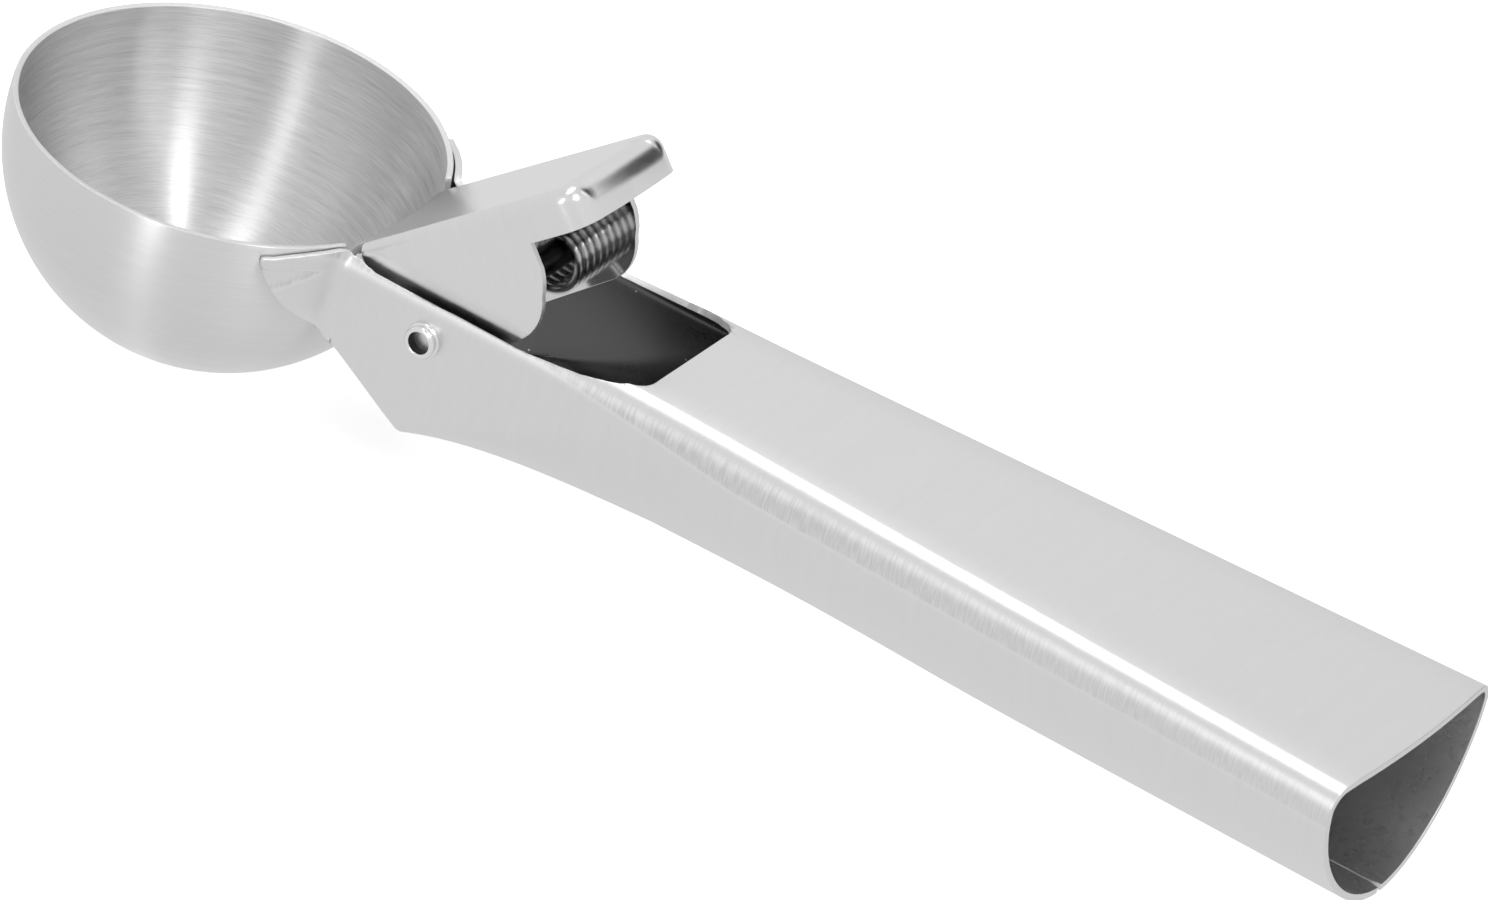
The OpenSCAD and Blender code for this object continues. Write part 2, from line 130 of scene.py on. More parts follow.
class Wiring:
    """A small hand for placing and joining shader nodes in one node tree."""

    MIX_SHARE, MIX_UNDER, MIX_OVER, MIX_RESULT = 0, 6, 7, 2

    def __init__(self, tree: Tree) -> None:
        """Keep the node tree that new nodes go into."""
        self.tree = tree

    def feed(self, target: Socket, value: object) -> None:
        """Join an output to an input, or set a plain value on the input."""
        if isinstance(value, Socket):
            self.tree.links.new(value, target)
        else:
            target.default_value = value

    def add(self, kind: str, inputs: Inputs | None = None, **settings: object) -> Node:
        """Place a node.

        Args:
            kind: the node's type, without ShaderNode in front.
            inputs: a socket or a plain value for each input that is set, by name or number.
            settings: properties to set on the node.

        Returns:
            The new node.
        """
        node = self.tree.nodes.new(kind if kind.startswith("Node") else "ShaderNode" + kind)
        for name, value in settings.items():
            setattr(node, name, value)
        for key, value in (inputs or {}).items():
            self.feed(node.inputs[key], value)
        return node

    def math(self, operation: str, first: object, second: object = 0.0) -> Socket:
        """Return the result of a Math node."""
        return self.add("Math", {0: first, 1: second}, operation=operation).outputs[0]

    def span(self, value: object, low: float, high: float, to_low: object, to_high: object) -> Socket:
        """Map a value from the span low to high onto the span to_low to to_high, clamped."""
        inputs = dict(enumerate((value, low, high, to_low, to_high)))
        return self.add("MapRange", inputs).outputs[0]

    def noise(self, vector: object, scale: float, detail: float = 2.0, roughness: float = 0.5) -> Socket:
        """Return the value, from 0 to 1, of a noise texture."""
        inputs = {"Vector": vector, "Scale": scale, "Detail": detail, "Roughness": roughness}
        return self.add("TexNoise", inputs).outputs["Fac"]

    def scaled(self, vector: Socket, scale: Sequence[float]) -> Socket:
        """Return coordinates scaled along each axis."""
        return self.add("Mapping", {"Vector": vector, "Scale": scale}).outputs[0]

    def part(self, vector: Socket, axis: str) -> Socket:
        """Return one part, X, Y or Z, of a vector."""
        return self.add("SeparateXYZ", {0: vector}).outputs[axis]

    def grey(self, value: Socket) -> Socket:
        """Return a value as a grey."""
        return self.add("CombineColor", {0: value, 1: value, 2: value}).outputs[0]

    def layer(self, blend: str, share: object, under: object, over: object) -> Socket:
        """Lay a colour over another one, in a share from 0 to 1."""
        inputs = {self.MIX_SHARE: share, self.MIX_UNDER: under, self.MIX_OVER: over}
        node = self.add("Mix", inputs, data_type="RGBA", blend_type=blend)
        return node.outputs[self.MIX_RESULT]

    def choose(self, share: Socket, first: Socket, second: Socket) -> Socket:
        """Mix two shaders."""
        return self.add("MixShader", {0: share, 1: first, 2: second}).outputs[0]


class EffectGroups:
    """The shader node groups that several finishes share, each built once."""

    def __init__(self) -> None:
        """Build the groups."""
        self.grain = self._grain()
        self.specks = self._specks()
        self.strokes_and_painted_light = self._strokes_and_painted_light()

    @staticmethod
    def _open(
        name: str, inputs: Mapping[str, float], outputs: Sequence[str]
    ) -> tuple[Wiring, Sockets, Sockets]:
        """Start a group that takes a vector and some numbers and gives numbers.

        Args:
            name: the group's name.
            inputs: the default of each number that it takes.
            outputs: the name of each number that it gives.

        Returns:
            The group's wiring, the sockets that it takes and those that it gives.
        """
        tree = bpy.data.node_groups.new(name, "ShaderNodeTree")
        tree.interface.new_socket(name="Vector", in_out="INPUT", socket_type="NodeSocketVector")
        for label, default in inputs.items():
            taken = tree.interface.new_socket(name=label, in_out="INPUT", socket_type="NodeSocketFloat")
            taken.default_value = default
        for label in outputs:
            tree.interface.new_socket(name=label, in_out="OUTPUT", socket_type="NodeSocketFloat")
        net = Wiring(tree)
        return net, net.add("NodeGroupInput").outputs, net.add("NodeGroupOutput").inputs

    def _grain(self) -> Tree:
        """Return the brushed grain: fine lines drawn out along the second axis of its vector."""
        net, take, give = self._open(
            "brushed_grain",
            {"Lines": 4.0, "Low": 0.3, "High": 0.4, "Dark": 0.92},
            ("Roughness", "Shade", "Height"),
        )
        broad_scale, broad_share, fine_share = 0.17, 0.35, 0.65
        inputs = {0: take["Vector"], "Scale": take["Lines"]}
        place = net.add("VectorMath", inputs, operation="SCALE").outputs[0]
        fine = net.noise(place, 1.0, 3.0, 0.6)
        broad = net.math("MULTIPLY", net.noise(place, broad_scale), broad_share)
        both = net.math("ADD", net.math("MULTIPLY", fine, fine_share), broad)
        net.feed(give["Roughness"], net.span(both, 0.3, 0.7, take["Low"], take["High"]))
        net.feed(give["Shade"], net.span(both, 0.35, 0.62, take["Dark"], 1.0))
        net.feed(give["Height"], fine)
        return net.tree

    def _specks(self) -> Tree:
        """Return the specks: a few small grains of dust and pits, as a mask."""
        net, take, give = self._open("dust_specks", {"Spacing": 0.4, "Size": 0.05}, ("Mask",))
        cells = net.add("TexVoronoi", {"Vector": take["Vector"], "Scale": take["Spacing"]})
        chosen = net.math("GREATER_THAN", cells.outputs["Color"], 0.6)
        near = net.math("LESS_THAN", cells.outputs["Distance"], take["Size"])
        net.feed(give["Mask"], net.math("MULTIPLY", near, chosen))
        return net.tree

    def _strokes_and_painted_light(self) -> Tree:
        """Return the bend's brush strokes with painted shade and a painted highlight: short strokes down
        the bend over a slight painted darkening, ending at a faint painted highlight line, fading along.
        """
        net, take, give = self._open("belt_strokes_and_painted_light", {"Strength": 1.0}, ("Shade",))
        # Gain of the painted highlight line, depth of the strokes, and the least darkening, a painted
        # shade laid over the whole band.
        painted_highlight_gain, stroke_depth, painted_shade_depth = 0.05, 0.14, 0.015
        along, down = net.part(take["Vector"], "X"), net.part(take["Vector"], "Y")
        stretched = net.scaled(take["Vector"], (3.4, 0.35, 1.0))
        stroke = net.span(net.noise(stretched, 1.0), 0.38, 0.6, 0.0, 1.0)
        lower_end = net.span(along, 54.0, 84.0, 3.9, 7.0)
        above = net.span(down, 2.6, 3.4, 0.0, 1.0)
        reach = net.math("SUBTRACT", lower_end, down)
        within = net.math("MULTIPLY", above, net.span(reach, 0.0, 0.25, 0.0, 1.0))
        fading = net.span(along, 60.0, 175.0, 1.0, 0.45)
        weight = net.math("MULTIPLY", net.math("MULTIPLY", within, fading), take["Strength"])
        # The painted highlight: a faint bright line where the band ends, taken off the darkening.
        near_end = net.span(net.math("ABSOLUTE", reach), 0.1, 0.6, painted_highlight_gain, 0.0)
        line = net.math("MULTIPLY", near_end, fading)
        depth = net.math("ADD", net.math("MULTIPLY", stroke, stroke_depth), painted_shade_depth)
        dark = net.math("SUBTRACT", net.math("MULTIPLY", weight, depth), line)
        net.feed(give["Shade"], net.math("SUBTRACT", 1.0, dark))
        return net.tree


# Finishes


class Coordinates(Enum):
    """What a finish's grain follows."""

    OBJECT = "Object"
    SHEET = "UV"


@dataclass(frozen=True)
class SteelFinish:
    """A stainless steel surface with a drawn or brushed grain.

    The grain's vector is in millimetres, stretched by grain along each axis, so that a small
    number draws the lines out along that axis.
    """

    name: str
    tone: float = 0.78
    rough: Pair = (0.26, 0.36)
    dark: float = 0.94
    grain: Triple = (0.05, 1.0, 1.0)
    lines: float = 2.2
    bump_mm: float = 0.0012
    anisotropy: float = 0.0
    specks: float = 0.0
    speck_tone: float = 0.9
    # The next two fields paint shade: the tone ramps along the sheet map's u from tone, a painted shade,
    # to this lighter tone over the given span.
    unshaded_tone: float | None = None
    shade_ramp: Pair = (75.0, 150.0)
    # Strength of the bend's brush strokes with their painted shade and painted highlight line.
    bend_strokes_and_painted_light: float = 0.0
    coordinates: Coordinates = Coordinates.OBJECT

    def material(self, groups: EffectGroups) -> Material:
        """Make the finish's material.

        Args:
            groups: the shared node groups.

        Returns:
            The material.
        """
        material = bpy.data.materials.new(self.name)
        material.use_nodes = True
        net = Wiring(material.node_tree)
        net.tree.nodes.clear()
        place = net.add("TexCoord").outputs
        unit = 1.0 / MM if self.coordinates is Coordinates.OBJECT else 1.0
        inputs = {
            "Vector": net.scaled(place[self.coordinates.value], [unit * g for g in self.grain]),
            "Lines": self.lines,
            "Low": self.rough[0],
            "High": self.rough[1],
            "Dark": self.dark,
        }
        grain = net.add("Group", inputs, node_tree=groups.grain).outputs
        inputs = {"Strength": 1.0, "Distance": self.bump_mm * MM, "Height": grain["Height"]}
        bump = net.add("Bump", inputs)
        inputs = {
            "Metallic": 1.0,
            "Anisotropic": self.anisotropy,
            "Roughness": grain["Roughness"],
            "Base Color": self._colour(net, groups, place, grain["Shade"]),
            "Normal": bump.outputs[0],
        }
        if self.anisotropy > 0.0:
            tangent = net.add("Tangent", direction_type="UV_MAP", uv_map=SHEET_MAP)
            inputs["Tangent"] = tangent.outputs[0]
        steel = net.add("BsdfPrincipled", inputs)
        net.add("OutputMaterial", {0: steel.outputs[0]})
        return material

    def _colour(self, net: Wiring, groups: EffectGroups, place: Sockets, shade: Socket) -> Socket:
        """Lay the grain's shade over the tone, or over a tone that ramps up from painted shade, then the
        bend's brush strokes with their painted shade and painted highlight line, and the specks.

        Args:
            net: the material's wiring.
            groups: the shared node groups.
            place: the outputs of the texture coordinate node.
            shade: the grain's shade.

        Returns:
            The colour.
        """
        base: object = (self.tone, self.tone, self.tone, 1.0)
        # Painted shade: the tone ramps along the map's u from the dark tone at the span's start to the
        # lighter one past its end.
        if self.unshaded_tone is not None:
            along = net.part(place["UV"], "X")
            base = net.grey(net.span(along, *self.shade_ramp, self.tone, self.unshaded_tone))
        colour = net.layer("MULTIPLY", 1.0, base, net.grey(shade))
        # Brush strokes on the bend, with painted shade over the band and a painted highlight line at its
        # lower end.
        if self.bend_strokes_and_painted_light > 0.0:
            inputs = {"Vector": place["UV"], "Strength": self.bend_strokes_and_painted_light}
            strokes_and_painted_light = net.add("Group", inputs, node_tree=groups.strokes_and_painted_light)
            colour = net.layer("MULTIPLY", 1.0, colour, net.grey(strokes_and_painted_light.outputs["Shade"]))
        if self.specks > 0.0:
            inputs = {"Vector": net.scaled(place["Object"], [1.0 / MM] * 3)}
            dust = net.add("Group", inputs, node_tree=groups.specks)
            share = net.math("MULTIPLY", dust.outputs["Mask"], self.specks)
            colour = net.layer("MIX", share, colour, (*[self.speck_tone] * 3, 1.0))
        return colour


class Finish(Enum):
    """The finishes of the scoop's surfaces."""

    BOWL_OUTSIDE = SteelFinish(
        "bowl_outside", tone=0.82, rough=(0.32, 0.42), grain=(2.0, 0.1, 1.0),
        bump_mm=0.0016, anisotropy=0.94, coordinates=Coordinates.SHEET)
    BOWL_INSIDE = SteelFinish(
        "bowl_ring_brushed", tone=0.9, rough=(0.36, 0.48), dark=0.74,
        grain=(3.6, 0.11, 1.0), bump_mm=0.004, anisotropy=0.98, coordinates=Coordinates.SHEET)
    # The handle's outside carries the bend's brush strokes with painted shade and a painted highlight
    # line.
    HANDLE_OUTSIDE = SteelFinish(
        "handle_satin", tone=0.8, rough=(0.33, 0.38), dark=0.97, grain=(2.4, 0.14, 1.0),
        bump_mm=0.002, anisotropy=0.25, bend_strokes_and_painted_light=1.0, coordinates=Coordinates.SHEET)
    # Painted shade: a near-black tone inside the trough, lightening to a steel tone far along the tube.
    HANDLE_INNER_PAINTED_SHADE = SteelFinish(
        "handle_inner_painted_shade", tone=0.12, rough=(0.26, 0.31), grain=(0.4, 0.4, 0.4),
        bump_mm=0.0002, specks=0.7, unshaded_tone=0.92, shade_ramp=(58.0, 130.0))
    LEVER_TOP = SteelFinish(
        "lever_satin", tone=0.8, rough=(0.2, 0.27), dark=0.97, grain=(2.0, 0.12, 1.0),
        bump_mm=0.0006, anisotropy=0.35, coordinates=Coordinates.SHEET)
    LEVER_UNDER = SteelFinish(
        "lever_polished_inside", tone=0.7, rough=(0.05, 0.08), bump_mm=0.0002,
        coordinates=Coordinates.SHEET)
    EDGE = SteelFinish("sheared_edge", rough=(0.45, 0.6), dark=0.95, grain=(0.6, 0.6, 0.6))
    RIVET = SteelFinish(
        "rivet_turned", tone=0.85, rough=(0.2, 0.3), dark=0.97, grain=(0.5, 3.0, 0.5),
        bump_mm=0.0006)
    # Painted shade: a near-black tone where the rivet's hole and its shank between the cheeks lie in
    # shade.
    RIVET_HOLE_PAINTED_SHADE = SteelFinish("rivet_hole_painted_shade", tone=0.03, rough=(0.3, 0.4))
    SPRING = SteelFinish("spring_wire", tone=0.8, rough=(0.12, 0.2), grain=(1.0, 4.0, 1.0))


# Sheet work: rows of points, straight cuts, thickness and edges


def mix(start: float, end: float, share: float) -> float:
    """Return the value at a share of the way from start to end."""
    return start + (end - start) * share


def spread(start: float, end: float, steps: int) -> list[float]:
    """Return evenly spaced values from start to end, both included."""
    return [mix(start, end, k / steps) for k in range(steps + 1)]


def clamp01(value: float) -> float:
    """Return the value held between 0 and 1."""
    return max(0.0, min(1.0, value))


def arc(centre: Pair, radius: float, first_deg: float, last_deg: float, steps: int) -> list[Pair]:
    """Return the points of an arc between two angles, both ends included."""
    angles = [math.radians(angle) for angle in spread(first_deg, last_deg, steps)]
    return [(centre[0] + radius * math.cos(a), centre[1] + radius * math.sin(a)) for a in angles]


def sides(outline: Sequence[Pair]) -> Iterable[tuple[Pair, Pair]]:
    """Return the two ends of each side of a closed outline."""
    return zip(outline, [*outline[1:], outline[0]])


def inside(outline: Sequence[Pair], point: Pair) -> bool:
    """Tell whether a point lies inside a closed outline."""
    hit = False
    for (x0, y0), (x1, y1) in sides(outline):
        spans = (y0 > point[1]) != (y1 > point[1])
        if spans and point[0] < (x1 - x0) * (point[1] - y0) / (y1 - y0) + x0:
            hit = not hit
    return hit


def mirrored(points: Sequence[Pair]) -> list[Pair]:
    """Return points in reverse order on the other side of y = 0."""
    return [(x, -y) for x, y in reversed(points)]


class Look(Enum):
    """The view that a cut is drawn in: the two axes of its outline."""

    SIDE = (0, 2)
    PLAN = (0, 1)
    END = (1, 2)


class SheetBuilder:
    """Grows a sheet's outer face row by row with bmesh operators and cuts it to its outline."""

    REACH = 0.02
    SHORTEST = 1e-6
    SLIVER = 0.06
    FLAT_DEG = 0.2

    def __init__(self) -> None:
        """Start with an empty mesh."""
        self.mesh = bmesh.new()

    def loft(self, edges: Sequence[BMEdge], rows: Sequence[Sequence[Vector]]) -> None:
        """Extrude the first row's edges through rows with equally many points."""
        for before, after in zip(rows, rows[1:]):
            targets = {self.key(old): new for old, new in zip(before, after)}
            made = bmesh.ops.extrude_edge_only(self.mesh, edges=edges)["geom"]
            fresh = {item for item in made if isinstance(item, BMVert)}
            for vert in fresh:
                vert.co = targets[self.key(vert.co)]
            edges = [item for item in made if isinstance(item, BMEdge) and fresh.issuperset(item.verts)]

    def lay_ring(self, points: Sequence[Vector], capped: bool) -> list[BMEdge]:
        """Lay a circle of edges on the points of a closed line, with a face in it if it is capped."""
        count = len(points)
        verts = bmesh.ops.create_circle(self.mesh, cap_ends=capped, segments=count, radius=1.0)["verts"]
        for vert, point in zip(verts, points):
            vert.co = point
        return unique(edge for vert in verts for edge in vert.link_edges)

    def along(self, edges: Iterable[BMEdge], points: Iterable[Vector]) -> list[BMEdge]:
        """Return those edges that have both their ends among some points."""
        keys = {self.key(point) for point in points}
        return [edge for edge in edges if all(self.key(vert.co) in keys for vert in edge.verts)]

    @staticmethod
    def key(point: Vector) -> tuple[int, ...]:
        """Return a point as whole thousandths of a millimetre."""
        return tuple(round(c * 1e3) for c in point)

    def cut(
        self, outline: Sequence[Pair], look: Look, where: Callable[[Vector], bool], keep_inside: bool
    ) -> None:
        """Cut the sheet along a closed outline and delete one side of it.

        Args:
            outline: the outline's corners in the given view.
            look: the view.
            where: tells which faces the cut reaches, from their centres.
            keep_inside: whether the inside of the outline stays.
        """
        first, second = look.value
        for start, end in sides(outline):
            co, no = Vector((0.0, 0.0, 0.0)), Vector((0.0, 0.0, 0.0))
            co[first], co[second] = start
            no[first], no[second] = start[1] - end[1], end[0] - start[0]
            if no.length < self.SHORTEST:
                continue
            low = [min(pair) - self.REACH for pair in zip(start, end)]
            high = [max(pair) + self.REACH for pair in zip(start, end)]
            near = [face for face in self.mesh.faces if where(face.calc_center_median())]
            faces = [face for face in near if self._meets(face, look.value, low, high)]
            geom = unique(item for face in faces for item in (*face.verts, *face.edges, face))
            if geom:
                no.normalize()
                bmesh.ops.bisect_plane(self.mesh, geom=geom, dist=1e-5, plane_co=co, plane_no=no)
        gone = []
        for face in self.mesh.faces:
            centre = face.calc_center_median()
            if where(centre) and inside(outline, (centre[first], centre[second])) != keep_inside:
                gone.append(face)
        bmesh.ops.delete(self.mesh, geom=gone, context="FACES")

    @staticmethod
    def _meets(face: BMFace, axes: tuple[int, int], low: Sequence[float], high: Sequence[float]) -> bool:
        """Tell whether a face's box meets another box in a view."""
        for axis, least, most in zip(axes, low, high):
            reach = [vert.co[axis] for vert in face.verts]
            if max(reach) <= least or min(reach) >= most:
                return False
        return True

    def merge_flats(self, where: Callable[[BMFace], bool]) -> None:
        """Merge the pieces that cuts have left in a flat wall, whose faces are told by where."""
        wall = {face for face in self.mesh.faces if where(face)}
        edges = [e for e in self.mesh.edges if e.link_faces and wall.issuperset(e.link_faces)]
        verts = [v for v in self.mesh.verts if v.link_faces and wall.issuperset(v.link_faces)]
        flat = math.radians(self.FLAT_DEG)
        bmesh.ops.dissolve_limit(self.mesh, angle_limit=flat, verts=verts, edges=edges)

    def turn_out(self, probe: Vector, outward: Vector) -> None:
        """Heal the mesh and turn its faces outward, told by the face nearest a probe."""
        bmesh.ops.remove_doubles(self.mesh, verts=self.mesh.verts, dist=self.SLIVER)
        bmesh.ops.dissolve_degenerate(self.mesh, edges=self.mesh.edges, dist=self.SLIVER / 2.0)
        bmesh.ops.recalc_face_normals(self.mesh, faces=self.mesh.faces)
        nearest = min(self.mesh.faces, key=lambda f: (f.calc_center_median() - probe).length_squared)
        if nearest.normal.dot(outward) < 0.0:
            bmesh.ops.reverse_faces(self.mesh, faces=self.mesh.faces)

    def lay_map(self, place: Callable[[Vector, Vector], Pair]) -> None:
        """Lay the sheet's map, in millimetres, from each corner and the centre of its face."""
        layer = self.mesh.loops.layers.uv.new(SHEET_MAP)
        for face in self.mesh.faces:
            centre = face.calc_center_median()
            for loop in face.loops:
                loop[layer].uv = place(loop.vert.co, centre)

    def finish(self, name: str, skin: Skin, frame: Matrix | None = None) -> Piece:
        """Turn the mesh into an object on the table, out of the frame that it is drawn in."""
        place = REST.matrix() if frame is None else REST.matrix() @ frame
        bmesh.ops.transform(self.mesh, matrix=place, verts=self.mesh.verts)
        data = bpy.data.meshes.new(name)
        self.mesh.to_mesh(data)
        self.mesh.free()
        for material in skin:
            data.materials.append(material)
        for face in data.polygons:
            face.use_smooth = True
        return stand(name, data)


def thicken(piece: Piece, sheet_mm: float) -> Piece:
    """Give a sheet its thickness on the inner side, its materials there and round cut edges."""
    wall = piece.modifiers.new("sheet", "SOLIDIFY")
    wall.thickness = sheet_mm * MM
    wall.offset = -1.0
    wall.use_even_offset = True
    wall.use_quality_normals = True
    wall.material_offset = 1
    wall.material_offset_rim = 2
    return round_edges(piece, EDGE_R)


def round_edges(piece: Piece, edge_mm: float) -> Piece:
    """Round a piece's sharp edges to a radius, weigh its normals by area and return the piece."""
    bevel = piece.modifiers.new("edges", "BEVEL")
    bevel.width = edge_mm * MM
    bevel.segments = 2
    bevel.limit_method = "ANGLE"
    bevel.angle_limit = math.radians(SHARP_DEG)
    bevel.use_clamp_overlap = False
    piece.modifiers.new("normals", "WEIGHTED_NORMAL").keep_sharp = True
    return piece


# Bowl


@dataclass
class Bowl:
    """The deep ball of thin sheet with a notch for the lever."""

    outer_r: float = 27.48
    sheet: float = 0.8
    notch_half: float = 11.7
    notch_z: float = -5.2
    notch_corner: float = 1.5
    notch_from: float = 15.0

    def build(self, skin: Skin) -> Piece:
        """Spin the ball, cut its notch and give it its thickness.

        Args:
            skin: finishes of the outer face, the inner face and the cut edges.

        Returns:
            The piece.
        """
        sheet = SheetBuilder()
        middle = Vector((0.0, 0.0, BALL_Z))
        bmesh.ops.create_uvsphere(
            sheet.mesh, u_segments=160, v_segments=96, radius=self.outer_r,
            matrix=Matrix.Translation(middle))
        geom = [*sheet.mesh.verts, *sheet.mesh.edges, *sheet.mesh.faces]
        bmesh.ops.bisect_plane(
            sheet.mesh, geom=geom, dist=1e-4, plane_co=(0, 0, 0), plane_no=UP, clear_outer=True)
        sheet.cut(self._notch(), Look.END, lambda c: c.x > self.notch_from, keep_inside=False)
        outward = Vector((-1.0, 0.0, 0.0))
        sheet.turn_out(middle + self.outer_r * outward, outward)
        sheet.lay_map(self._map)
        return thicken(sheet.finish("bowl_shell", skin), self.sheet)

    def _notch(self) -> list[Pair]:
        """Return the notch's outline, seen from the handle."""
        w, z, r, above = self.notch_half, self.notch_z, self.notch_corner, 5.0
        left, right = arc((-w + r, z + r), r, 180.0, 270.0, 6), arc((w - r, z + r), r, 270.0, 360.0, 6)
        return [(-w, above), *left, *right, (w, above)]

    def _map(self, corner: Vector, centre: Vector) -> Pair:
        """Return the map's point: u runs down the ball and v round it, with the seam at the lever."""
        middle, turn = math.atan2(-centre.y, -centre.x), math.atan2(-corner.y, -corner.x)
        turn += math.tau * round((middle - turn) / math.tau)
        rise = math.atan2(corner.z - BALL_Z, math.hypot(corner.x, corner.y))
        return -rise * self.outer_r, turn * self.outer_r


# Handle


@dataclass
class Handle:
    """The folded sheet: welding tabs, cheeks, trough and flared tube."""

    sheet: float = 0.9
    reach: float = 171.4
    neck_half: float = 13.3
    end_half: float = 18.9
    flare_soft: float = 12.0
    depth: float = 21.6
    lift: float = 1.0
    rise: float = 0.7
    corner_r: float = 3.2
    shoulder: Pair = (3.0, 0.12)
    bend_deg: float = 85.5
    cheek_belly: float = 1.3
    waist_h: float = 0.6
    waist_off: float = 22.0
    waist_span: float = 32.0
    end_fullness: float = 1.8
    end_bow: float = 0.9
    seam_gap: float = 0.3
    opening_reach: float = 67.2
    opening_half: float = 10.8
    opening_r: float = 2.6
    cheek_drop: float = 1.0
    toe: Pair = (37.8, -19.4)
    throat: Pair = (25.1, -12.3)
    tab_tip: Pair = (18.7, -1.2)
    tab_from: float = 15.0
    tab_to: float = 30.0
    ball_r: float = 28.55
    tube_start: float = 70.2
    mid_x: float = 120.0
    mid_z: float = -10.0

    def build(self, skin: Skin) -> Piece:
        """Loft the sheet's outer face, cut it to its outlines and give it its thickness.

        Args:
            skin: finishes of the outer face, the inner face and the cut edges.

        Returns:
            The piece.
        """
        sheet = SheetBuilder()
        stations = spread(self.tab_from, self.tab_to, 30)[:-1]
        stations += spread(self.tab_to, self.tube_start, 26)[:-1]
        stations += spread(self.tube_start, self.reach, 30)
        rows = [self._section(x) for x in stations]
        sheet.loft(sheet.lay_ring(rows[0], capped=False), rows)
        end, mid = self.opening_reach, self.mid_z
        sheet.cut(self._side_outline(), Look.SIDE, lambda c: c.x < end + 2.0, keep_inside=True)
        sheet.cut(self._opening(), Look.PLAN, lambda c: c.z > mid and c.x < end + 3.0, keep_inside=False)
        sheet.cut(self._seam(), Look.PLAN, lambda c: c.z < mid, keep_inside=False)
        sheet.turn_out(Vector((self.mid_x, 0.0, self.lift)), UP)
        sheet.lay_map(self._map)
        return thicken(sheet.finish("handle_sheet", skin), self.sheet)

    def _map(self, corner: Vector, _centre: Vector) -> Pair:
        """Return the map's point: u runs along the handle and v from the top's flat down the side.

        The bend between top and side lies between v = 0 and its length.
        """
        belly_pull = 0.6
        out = abs(corner.y) - self._half_width(corner.x) + self.corner_r
        drop = self._top(corner.x) - self.corner_r - corner.z
        if drop > 0.0:
            return corner.x, 0.5 * math.pi * self.corner_r + drop - belly_pull * (out - self.corner_r)
        if out < 0.0:
            return corner.x, out
        return corner.x, self.corner_r * math.atan2(out, -drop)

    def _half_width(self, x: float) -> float:
        """Return half the outer width at a distance from the bowl."""
        start, soft = self.opening_reach - 1.0, self.flare_soft
        d = x - start
        run = 0.0 if d <= -soft else d if d >= soft else (d + soft) ** 2 / (4.0 * soft)
        return self.neck_half + (self.end_half - self.neck_half) * run / (self.reach - start)

    def _top(self, x: float) -> float:
        """Return the flat top's height at a distance from the bowl."""
        return self.lift + self.rise * (x - self.opening_reach) / (self.reach - self.opening_reach)

    def _bottom(self, x: float) -> float:
        """Return the underside's height at a distance from the bowl."""
        t = (x - self.tube_start - self.waist_off) / self.waist_span
        waist = (math.cos(math.pi * t) + 1.0) / 2.0 if abs(t) < 1.0 else 0.0
        return self.lift - self.depth + self.waist_h * waist

    def _section(self, x: float) -> list[Vector]:
        """Draw one closed section of the outer face.

        Args:
            x: distance from the bowl's centre.

        Returns:
            The section's points, from the top's middle round and back.
        """
        width, top, bottom = self._half_width(x), self._top(x), self._bottom(x)
        level, (across, drop) = width - self.corner_r, self.shoulder
        side = top - drop - self.corner_r
        along = clamp01((x - self.tube_start) / (self.reach - self.tube_start))
        deepening = clamp01((x - self.toe[0]) / (self.tube_start - self.toe[0]))
        belly = mix(self.cheek_belly, side - bottom, deepening)
        power = 2.0 / mix(2.0, self.end_fullness, along)
        waist = min(bottom + belly, side - 0.01)
        half: list[Pair] = [((level - across) * k / 5, top) for k in range(5)]
        half += [(level - across * (1.0 - k / 6), top - drop * (k / 6) ** 2) for k in range(6)]
        half += arc((level, side), self.corner_r, self.bend_deg, 0.0, 12)
        half += [(width, z) for z in spread(side, waist, 15)[1:-1]]
        for angle in map(math.radians, spread(0.0, 90.0, 26)):
            out, down = max(math.cos(angle), 0.0) ** power, math.sin(angle) ** power
            half.append((width * out, waist - belly * down))
        ring = [self._placed(x, along, y, z) for y, z in half]
        return ring + [Vector((p.x, -p.y, p.z)) for p in ring[-2:0:-1]]

    def _placed(self, x: float, along: float, y: float, z: float) -> Vector:
        """Place a point of the right half: bow the end and push the tab out over the bowl."""
        soft = 0.5
        ball = self.ball_r ** 2 - x * x - (z - BALL_Z) ** 2
        if ball > 0.0 and y > 0.5 * self.neck_half and x < self.tab_to:
            shell = math.sqrt(ball)
            y = 0.5 * (y + shell + math.hypot(y - shell, soft))
        return Vector((x - self.end_bow * along * (y / self.end_half) ** 2, y, z))

